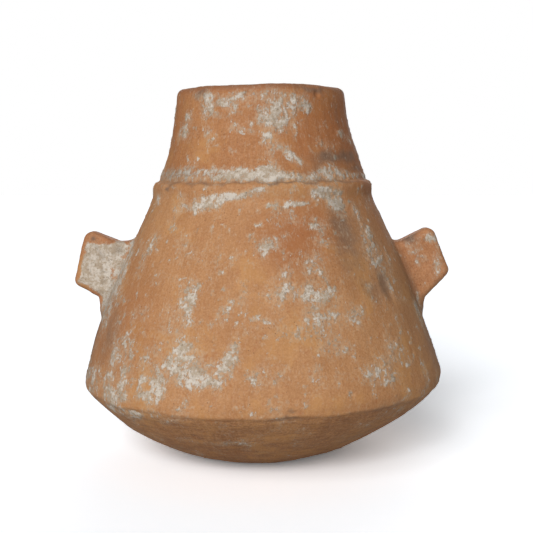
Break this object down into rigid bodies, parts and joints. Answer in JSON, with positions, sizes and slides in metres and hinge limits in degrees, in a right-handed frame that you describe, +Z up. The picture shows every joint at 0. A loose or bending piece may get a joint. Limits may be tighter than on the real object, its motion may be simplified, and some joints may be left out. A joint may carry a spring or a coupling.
{
  "type": "amphora",
  "caption": "Hand-built clay amphora with a shallow round-bottomed bowl base, a sharp shoulder edge, a tall tapering wall, a ridged flaring neck and two wing lugs.",
  "frame": {"origin": "on the standing surface, under the middle of the jar's bounding box, which is also the axis of the rings", "axes": "+Z up along the jar's axis, +X towards the right lug and -X towards the left lug as seen from the front, -Y towards the front"},
  "size_m": [0.2591, 0.246, 0.2505],
  "materials": {
    "wall_clay": "matte",
    "neck_clay": "matte",
    "underside_clay": "matte",
    "lug_clay": "matte"
  },
  "bodies": {
    "root": {"base_disc": "underside_clay", "bowl_band": "underside_clay", "lower_wall_band": "wall_clay", "handle_band": "wall_clay", "upper_wall_band": "wall_clay", "neck_cordon": "wall_clay", "neck_collar": "neck_clay", "rim_band": "neck_clay", "lug_left": "lug_clay", "lug_right": "lug_clay"}
  },
  "joints": []
}
